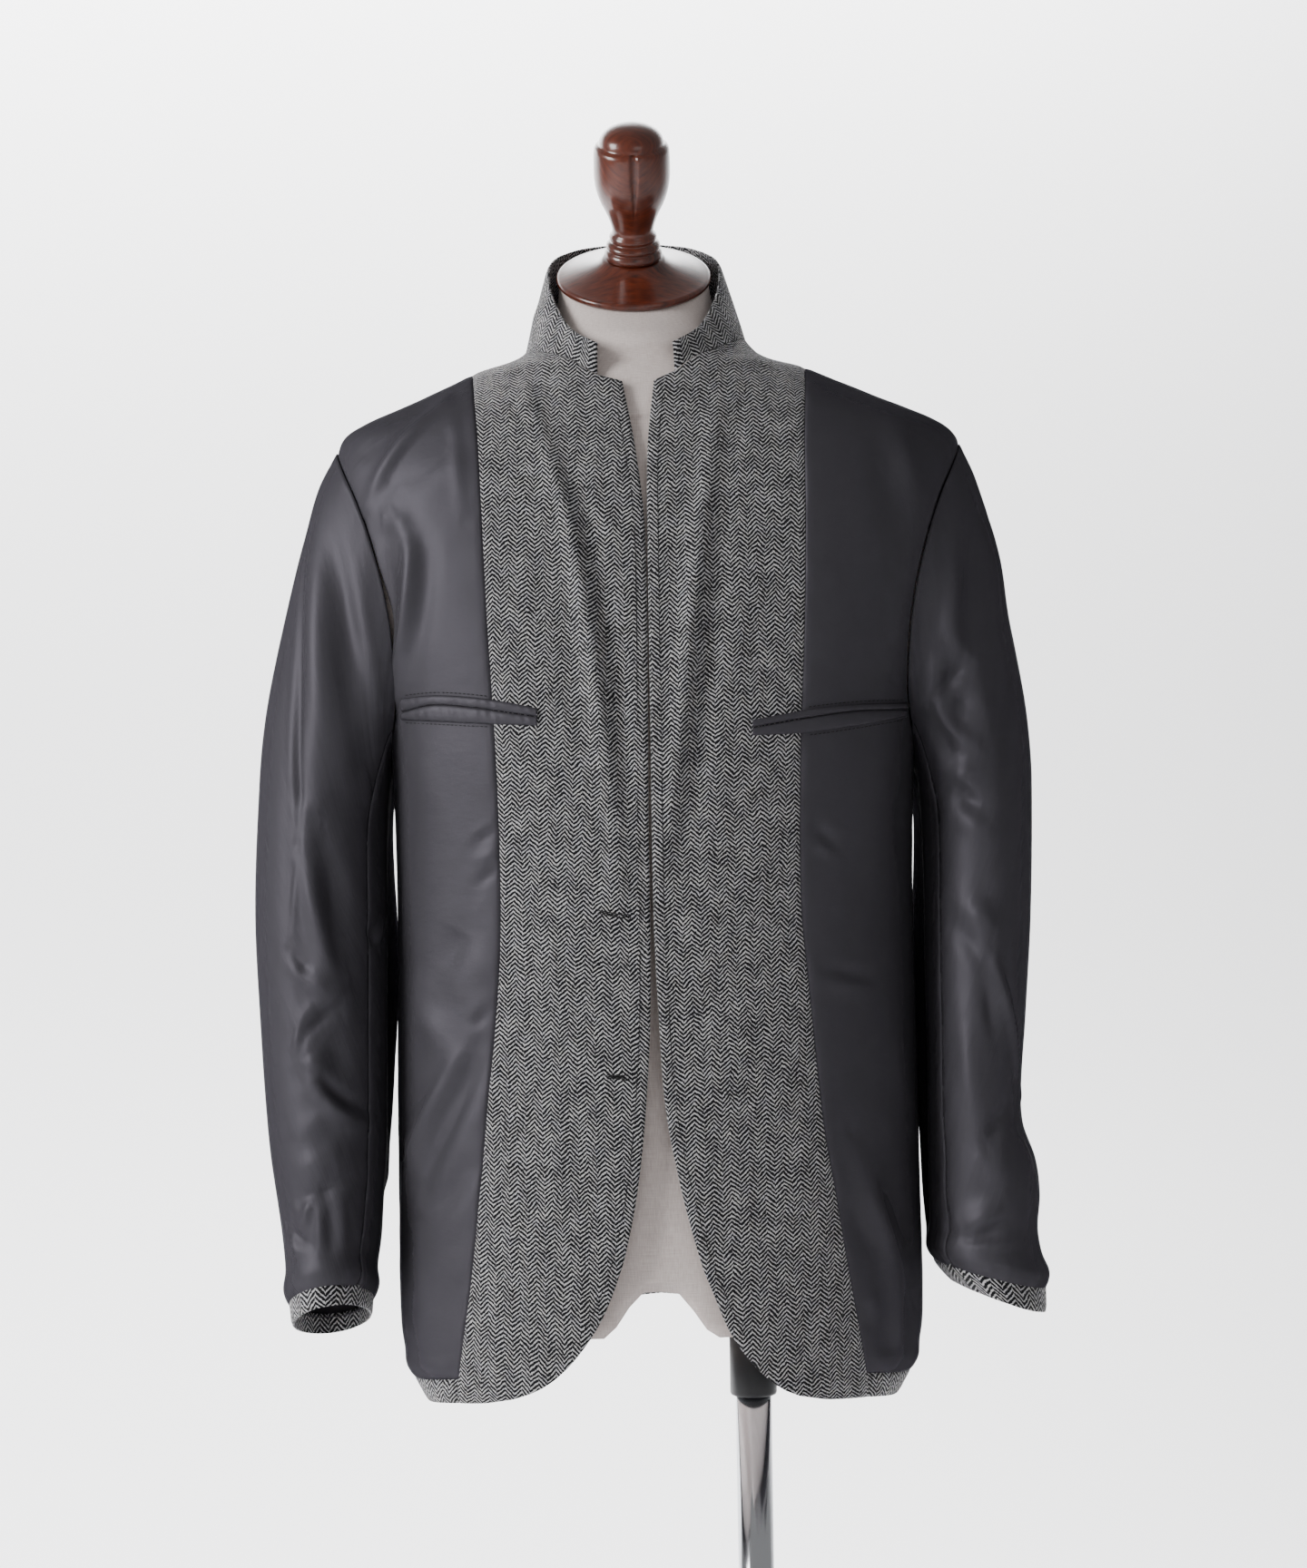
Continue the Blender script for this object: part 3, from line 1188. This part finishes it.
def sleeve_place(side_name, along, angle):
    along, angle = np.broadcast_arrays(np.asarray(along, float), np.asarray(angle, float))
    point = sleeve_ring(side_name, along, angle)
    weight = np.clip(1 - along, 0, 1) ** 2
    hole = armhole_points(SIDES[side_name], angle)
    hole = hole + body_normal(hole) * ARMHOLE_LIFT
    return point + (hole - sleeve_ring(side_name, np.zeros_like(along), angle)) * weight[..., None]


def sleeve_normal(side_name, along, angle):
    step = 0.02
    low = np.maximum(along - step, 0)
    down = sleeve_place(side_name, along + step, angle) - sleeve_place(side_name, low, angle)
    round_way = sleeve_place(side_name, along, angle + 2) - sleeve_place(side_name, along, angle - 2)
    return unit(np.cross(round_way, down) * SIDES[side_name])


def sleeve_relief(side_name, z, along, angle):
    """Folds and slow swell of the cloth on a sleeve, fading to its two ends."""
    turn = np.where(angle < 0, angle + 360, angle)
    folds = SLEEVE_FOLDS[side_name]
    relief = fold_relief(z, turn * SLEEVE_ARC, folds, SLEEVE_ARC)
    past_outer = fold_relief(z, (turn - 360) * SLEEVE_ARC, folds, SLEEVE_ARC)
    relief += np.where(turn > 300, past_outer, 0)
    swell = SLEEVE["swell"] * soft_waves(turn * 0.5, z * 0.6, 15.0, 3.0 + len(side_name))
    fade = smooth_step(0.04, 0.25, along) * (1 - smooth_step(1.9, 2, along))
    return (relief + swell * sine(turn / 2) ** 2) * fade


def sleeve_piece(name, side_name, start, stop):
    rows = int(SLEEVE["rows"] / DETAIL)
    columns = int((stop - start) / SLEEVE["spacing"] / DETAIL)
    cap = np.linspace(0, 1, rows * 2 // 5, endpoint=False)
    along = np.concatenate([cap, np.linspace(1, 2, rows - len(cap))])
    along, angle = np.meshgrid(along, np.linspace(start, stop, columns), indexing="ij")
    grid = sleeve_place(side_name, along, angle)
    normal = sleeve_normal(side_name, along, angle)
    distance = edge_distance(grid)
    height = sleeve_relief(side_name, grid[..., 2], along, angle)
    for edge in ("start", "end"):
        height += seam_dip(distance[edge], SLEEVE["seam_depth"], SLEEVE["seam_width"])
        height += seam_puckers(distance[edge], distance["bottom"], len(edge), SLEEVE["puckers"])
    height += seam_puckers(distance["bottom"], distance["start"], 2.0, SLEEVE["puckers"])
    from_swell = distance["top"] - SLEEVE_END["swell_height"]
    height += SLEEVE_END["swell"] * bump(from_swell, SLEEVE_END["swell_width"])
    height += seam_dip(distance["top"], SLEEVE_END["dip"], SLEEVE_END["dip_width"])
    outer = grid + normal * height[..., None]
    pull_in(outer)
    return shell(name, outer, normal, np.stack([distance["start"], distance["bottom"]], axis=-1))


def cuff(name, side_name):
    around = np.linspace(0, 360, int(CUFF["columns"] / DETAIL), endpoint=False)
    down = np.linspace(CUFF["start"], 3, CUFF["rows"])
    along, angle = np.meshgrid(down, around, indexing="ij")
    grid = sleeve_place(side_name, along, angle)
    normal = sleeve_normal(side_name, along, angle)
    seam = np.abs(angle - CUFF_SEAM[side_name]) * SLEEVE_ARC
    height = seam_dip(seam, CUFF["seam_depth"], CUFF["width"])
    height += seam_dip((3 - along) * CUFF["height"], CUFF["edge_depth"], CUFF["width"])
    outer = grid + normal * height[..., None]
    middle = grid[CUFF["rows"] // 2]
    round_way = np.cumsum(length(middle - np.roll(middle, 1, axis=0)))
    up_way = length(grid - grid[:1])
    uv = np.stack(np.broadcast_arrays(round_way, up_way), axis=-1) * STRIP_GRAIN
    return shell(name, outer, normal, uv, closed=True)


# Pockets
def pocket_welt(name, side_name, low, high):
    rows = POCKET[side_name]
    start, end = rows[0][0], rows[-1][0]
    x = np.linspace(start, end, int((end - start) / WELT["spacing"] / DETAIL))[None, :]
    h = np.linspace(0, 1, WELT["bands"])[:, None]
    edges = [from_table(rows, POCKET_COLUMNS, "x", level, x) for level in (low, high)]
    z = lerp(*edges, h)
    x, h = np.broadcast_arrays(x, h)
    bulge = WELT["bulge"] * (1 - np.abs(2 * h - 1) ** 3)
    wrinkle = WELT_WRINKLE[side_name] * soft_waves(x * 1.4, h * 9, 1.9, 4.0)
    outer, normal = front_place(x, z, WELT["lift"] + bulge + wrinkle)
    pull_in(outer)
    return shell(name, outer, normal, np.stack([x, z], axis=-1), WELT["thickness"])


# Stitches
def front_stitches(name, starts, ends, radius, lift):
    """Threads lying on the jacket's front between flat places."""
    starts, ends = np.asarray(starts, float), np.asarray(ends, float)
    first, outs = front_place(starts[:, 0], starts[:, 1], lift)
    last, _ = front_place(ends[:, 0], ends[:, 1], lift)
    return add_bars(name, first, last, outs, radius)


def running_stitches(name, line):
    """A row of short stitches along a flat line of places."""
    line = resample(line, 400)
    lengths = running_length(line)
    begin = np.arange(0, lengths[-1] - STITCH["length"], STITCH["pitch"])
    starts, ends = [at_lengths(line, lengths, begin + step) for step in (0, STITCH["length"])]
    return front_stitches(name, starts, ends, STITCH["radius"], STITCH["lift"])


def pocket_stitches(side_name):
    """Two rows of stitches on the satin, above and below the pocket."""
    rows = POCKET[side_name]
    inward = -SIDES[side_name]
    seam_x = edge_x(FACING_SEAM[side_name], 1230.0) - inward * POCKET_STITCH["seam_gap"]
    outer_x = rows[0][0] if side_name == "left" else rows[-1][0]
    x = np.linspace(outer_x + inward * POCKET_STITCH["inset"], seam_x, 60)
    made = []
    for level, rise in (("top", 1), ("bottom", -1)):
        z = from_table(rows, POCKET_COLUMNS, "x", level, x) + rise * POCKET_STITCH["margin"]
        made.append(running_stitches(f"pocket_stitches_{level}_{side_name}", np.column_stack([x, z])))
    return made


def edge_stitches(side_name):
    """A row of stitches a little way in from a front edge."""
    z = np.linspace(TOPSTITCH["low"], TOPSTITCH["high"], 200)
    x = edge_x(FRONT_EDGE[side_name], z)
    inset = SIDES[side_name] * TOPSTITCH["inset"] * np.sqrt(1 + np.gradient(x, z) ** 2)
    return running_stitches(f"edge_stitches_{side_name}", np.column_stack([x + inset, z]))


def buttonhole(name, start, end):
    """Close stitches round a slit, with a round eye at the end by the front edge."""
    start, end = np.array(start, float), np.array(end, float)
    axis = unit(end - start)
    across = np.array([-axis[1], axis[0]])
    bite, gap, eye = BUTTONHOLE["bite"], BUTTONHOLE["gap"], BUTTONHOLE["eye"]
    starts, ends = [], []
    for along in np.arange(0, length(end - start) - eye, BUTTONHOLE["pitch"]):
        middle = start + axis * along
        for side in (1, -1):
            starts.append(middle + across * side * gap)
            ends.append(middle + across * side * (gap + bite))
    centre = end - axis * eye * 0.2
    for turn in np.linspace(-BUTTONHOLE["reach"], BUTTONHOLE["reach"], BUTTONHOLE["rays"]):
        ray = axis * math.cos(turn) + across * math.sin(turn)
        starts.append(centre + ray * eye)
        ends.append(centre + ray * (eye + bite))
    return front_stitches(name, starts, ends, BUTTONHOLE["radius"], BUTTONHOLE["radius"])


def slit(name, start, end):
    """The dark opening of a buttonhole."""
    start, end = np.array(start, float), np.array(end, float)
    return front_stitches(name, [start], [lerp(start, end, SLIT["share"])], SLIT["radius"], 0.0)


def bar_tack():
    """Short upright threads that close the right pocket's outer end."""
    places = [BAR_TACK["x"] + i * BAR_TACK["pitch"] for i in range(BAR_TACK["bars"])]
    starts, ends = [[(x, BAR_TACK[level]) for x in places] for level in ("low", "high")]
    return front_stitches("pocket_bar_tack", starts, ends, BAR_TACK["radius"], BAR_TACK["lift"])


# Dress form
def form_point(side, angle, z):
    place = body_at_angle(side, angle, z)
    seat = smooth_step(1380, 1424, z) * (1 - smooth_step(0, 20, np.abs(place[..., 1])))
    offset = CLOTH_THICKNESS + 0.6 + lerp(FORM_GAP, FORM_SEAT_GAP, seat)
    offset += FORM_HOLLOW["depth"] * smooth_step(FORM_HOLLOW["start"], FORM_HOLLOW["full"], z)
    offset += NECK_SEAM["depth"] * bump(z - NECK_SEAM["z"], NECK_SEAM["width"])
    place -= body_normal(place) * offset[..., None]
    place[..., 0] = np.clip(place[..., 0], -ARM_PLATE_X, ARM_PLATE_X)
    return place


def arch_height(x):
    away = np.abs(x - ARCH["shift"])
    return FORM_FLOOR_Z + ARCH["rise"] * (1 - smooth_step(ARCH["flat"], ARCH["reach"], away))


def neck_ring(side, angle, z):
    def value(key):
        return from_table(FORM_NECK, NECK_RING_COLUMNS, "z", key, z)
    x = value("shift") + side * value("half_width") * np.abs(sine(angle))
    y = np.where(angle < 90, -value("front"), value("back")) * np.abs(cosine(angle))
    return np.stack([x, y, z + (y - CAP["y"]) * np.tan(np.radians(value("tilt")))], axis=-1)


def form_torso(name):
    half = int(FORM_SEGMENTS / DETAIL)
    count = 2 * half
    angle = np.linspace(0, 180, half + 1)
    angle = np.concatenate([angle, angle[1:-1][::-1]])
    side = np.concatenate([np.ones(half + 1), -np.ones(half - 1)])
    foot = form_point(side, angle, np.full(count, FORM_FLOOR_Z))
    foot[:, 2] = arch_height(foot[:, 0])
    rings = [foot]
    for z in np.concatenate([np.arange(*span) for span in FORM_RINGS]):
        place = form_point(side, angle, np.full(count, z))
        place[:, 2] = np.maximum(place[:, 2], arch_height(place[:, 0]) + 6)
        rings.append(place)
    for z in np.linspace(FORM_NECK[0][0], FORM_NECK[-1][0], 26):
        rings.append(neck_ring(side, angle, np.full(count, z)))
    rings = np.array(rings)
    faces = grid_faces(len(rings), count, 0, True)
    for row in (0, len(rings) - 1):
        for direction in (1, -1):
            for i in range(half // 2):
                near = [row * count + direction * k % count for k in (i, i + 1, half - i - 1, half - i)]
                corners = near if (row > 0) == (direction > 0) else near[::-1]
                faces.append(tuple(dict.fromkeys(corners)))
    uv = np.stack(np.broadcast_arrays(side * angle * LINEN_ARC, rings[..., 2]), axis=-1)
    return add_mesh(name, rings, faces, uv)


def leaf_groove(turn, height):
    """A leaf-shaped hollow cut down the front of the finial, pointed at its lower end."""
    share = (height - LEAF["bottom"]) / (LEAF["top"] - LEAF["bottom"])
    if not 0 < share <= 1.02:
        return np.zeros_like(turn)
    width = LEAF["width"] * min(share * 1.3, 1) ** 0.8
    from_leaf = turn + math.pi / 2 - LEAF["x"] / LEAF["radius"]
    away = np.abs((from_leaf + math.pi) % (2 * math.pi) - math.pi) * LEAF["radius"]
    return -LEAF["depth"] * min(share * 3, 1) * np.clip(1 - (away / max(width, 0.4)) ** 2, 0, 1)


def neck_axis(height):
    """A place on the tilted axis of the neck cap and the finial."""
    forward, up = height * sine(CAP["tilt"]), height * cosine(CAP["tilt"])
    return np.array([CAP["x"], CAP["y"] - forward, CAP["z"] + up])


def stand_pieces():
    segments = int(STAND_SEGMENTS / DETAIL)
    tilt = CAP["tilt"]
    fitting_z = FORM_FLOOR_Z - STAND_GAP - FITTING_PROFILE[-1][1]
    pole_top = fitting_z - STAND_GAP
    sleeve_top, pole_length = pole_top - POLE_SLEEVE_Z, pole_top - FOOT_TOP_Z
    sleeve = ((13.1, 0), (14.8, 0), (16.2, 0.7), (16.8, 2.2), (16.8, sleeve_top), (13.1, sleeve_top))
    pole = ((0, 0), (12.8, 0), (12.8, pole_length), (0, pole_length))

    def standing(name, profile, z, bored=False):
        return turned_piece(name, profile, segments, (POLE_OFFSET, 0, z), bored=bored)
    top = neck_axis(CAP["top"] + STAND_GAP)
    return {
        "neck_cap": turned_piece("turned_neck_cap", CAP_PROFILE, segments, neck_axis(0), tilt),
        "finial": turned_piece("turned_finial", FINIAL_PROFILE, segments * 2, top, tilt, leaf_groove),
        "leg_fitting": standing("turned_fitting", FITTING_PROFILE, fitting_z),
        "pole_sleeve": standing("plastic_sleeve", sleeve, POLE_SLEEVE_Z, True),
        "pole": standing("turned_pole", pole, FOOT_TOP_Z),
        "foot_plate": standing("turned_foot", FOOT_PROFILE, 0),
    }


MATERIALS = {
    "tweed": tweed_material(),
    "satin": satin_material(),
    "linen": linen_material(),
    "mahogany": mahogany_material(),
    "black_plastic": plain_material("black plastic", rgb(34, 34, 37), 0.42),
    "chrome": plain_material("chrome", rgb(214, 216, 220), 0.1, 1.0, 90.0, 0.05),
    "foot": plain_material("steel foot", rgb(190, 192, 196), 0.22, 1.0, 40.0, 0.1),
    "thread": plain_material("sewing thread", rgb(17, 17, 21), 0.7),
    "slit": plain_material("buttonhole slit", rgb(12, 12, 15), 0.9),
}


def finish_piece(piece, slot, nodes=(), look=None):
    piece.data.materials.append(MATERIALS[look or slot])
    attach(piece, "root")
    if nodes:
        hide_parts(*nodes)


def cloth_piece(piece, slot, node):
    finish_piece(piece, slot, [node])


finish_piece(form_torso("linen_cover"), "linen", ["form_torso"])
for node, made in stand_pieces().items():
    finish_piece(made, STAND_SLOTS[node], [node])

for side in SIDES:
    made = facing(f"cloth_facing_{side}", side)
    cloth_piece(made, "tweed", f"facing_{side}")
    made = front_lining(f"cloth_lining_front_{side}", side)
    cloth_piece(made, "satin", f"lining_front_{side}")
    made = back_lining(f"cloth_lining_back_{side}", side)
    cloth_piece(made, "satin", f"lining_back_{side}")
    for part in ("front", "back"):
        made = hem_strip(f"cloth_hem_{part}_{side}", side, part)
        cloth_piece(made, "tweed", f"hem_{part}_{side}")
    for part, start, stop in (
        ("upper", SLEEVE_BACK_SEAM - 360, SLEEVE_FRONT_SEAM), ("under", SLEEVE_FRONT_SEAM, SLEEVE_BACK_SEAM),
    ):
        made = sleeve_piece(f"cloth_sleeve_{part}_{side}", side, start, stop)
        cloth_piece(made, "satin", f"sleeve_{part}_{side}")
    made = cuff(f"cloth_cuff_{side}", side)
    cloth_piece(made, "tweed", f"cuff_{side}")
    for part, low, high in (("upper", "slit", "top"), ("lower", "bottom", "slit")):
        made = pocket_welt(f"cloth_welt_{part}_{side}", side, low, high)
        cloth_piece(made, "satin", f"pocket_welt_{part}_{side}")
cloth_piece(collar("cloth_collar"), "tweed", "collar")

for side in SIDES:
    for made in (*pocket_stitches(side), edge_stitches(side)):
        finish_piece(made, "satin", look="thread")
for number, (start, end) in enumerate(BUTTONHOLES):
    finish_piece(buttonhole(f"buttonhole_{number}", start, end), "satin", look="thread")
    finish_piece(slit(f"buttonhole_slit_{number}", start, end), "satin", look="slit")
finish_piece(bar_tack(), "satin", look="thread")


# Studio
def backdrop():
    """A pale floor that sweeps up into a pale wall behind the object."""
    bend, bend_y = BACKDROP["bend"], BACKDROP["bend_y"]
    profile = [(BACKDROP["front"], 0.0), (bend_y, 0.0)]
    for turn in np.linspace(0, math.pi / 2, BACKDROP["steps"] + 1)[1:]:
        profile.append((bend_y + bend * math.sin(turn), bend * (1 - math.cos(turn))))
    profile.append((bend_y + bend, BACKDROP["top"]))
    wide = BACKDROP["half_width"]
    grid = [[(x, y, z - BACKDROP["drop"]) for x in (-wide, wide)] for y, z in profile]
    piece = add_mesh("backdrop", grid, grid_faces(len(profile), 2))
    piece.data.materials.append(plain_material("backdrop paint", rgb(236, 236, 237), 0.9))


def soft_light(name, place, aim, size, power):
    lamp = bpy.data.lights.new(name, "AREA")
    lamp.shape = "RECTANGLE"
    lamp.size, lamp.size_y = size
    lamp.energy = power
    holder = bpy.data.objects.new(name, lamp)
    holder.location = Vector(place)
    holder.rotation_euler = (Vector(aim) - Vector(place)).to_track_quat("-Z", "Y").to_euler()
    bpy.context.scene.collection.objects.link(holder)


def studio():
    backdrop()
    for name, settings in LIGHTS.items():
        soft_light(name, *settings)
    world = bpy.data.worlds.new("studio")
    world.use_nodes = True
    world.node_tree.nodes["Background"].inputs["Color"].default_value = (1, 1, 1, 1)
    world.node_tree.nodes["Background"].inputs["Strength"].default_value = WORLD_STRENGTH
    bpy.context.scene.world = world


def camera():
    lens_data = bpy.data.cameras.new("camera")
    lens_data.sensor_width = SENSOR_MM
    lens_data.lens = SENSOR_MM * CAMERA_DISTANCE / (FRAME_HEIGHT_PX * MM_PER_PX)
    eye = bpy.data.objects.new("camera", lens_data)
    lean = math.radians(CAMERA_LEAN)
    right = Vector((math.cos(lean), 0, -math.sin(lean)))
    up = Vector((math.sin(lean), 0, math.cos(lean)))
    back = Vector((0, -1, 0))
    turn = Matrix((right, up, back)).transposed().to_4x4()
    place = Vector(((CAMERA_X - POLE_OFFSET) * MM, -CAMERA_DISTANCE * MM, CAMERA_HEIGHT * MM))
    eye.matrix_world = Matrix.Translation(place) @ turn
    bpy.context.scene.collection.objects.link(eye)
    bpy.context.scene.camera = eye


studio()
camera()
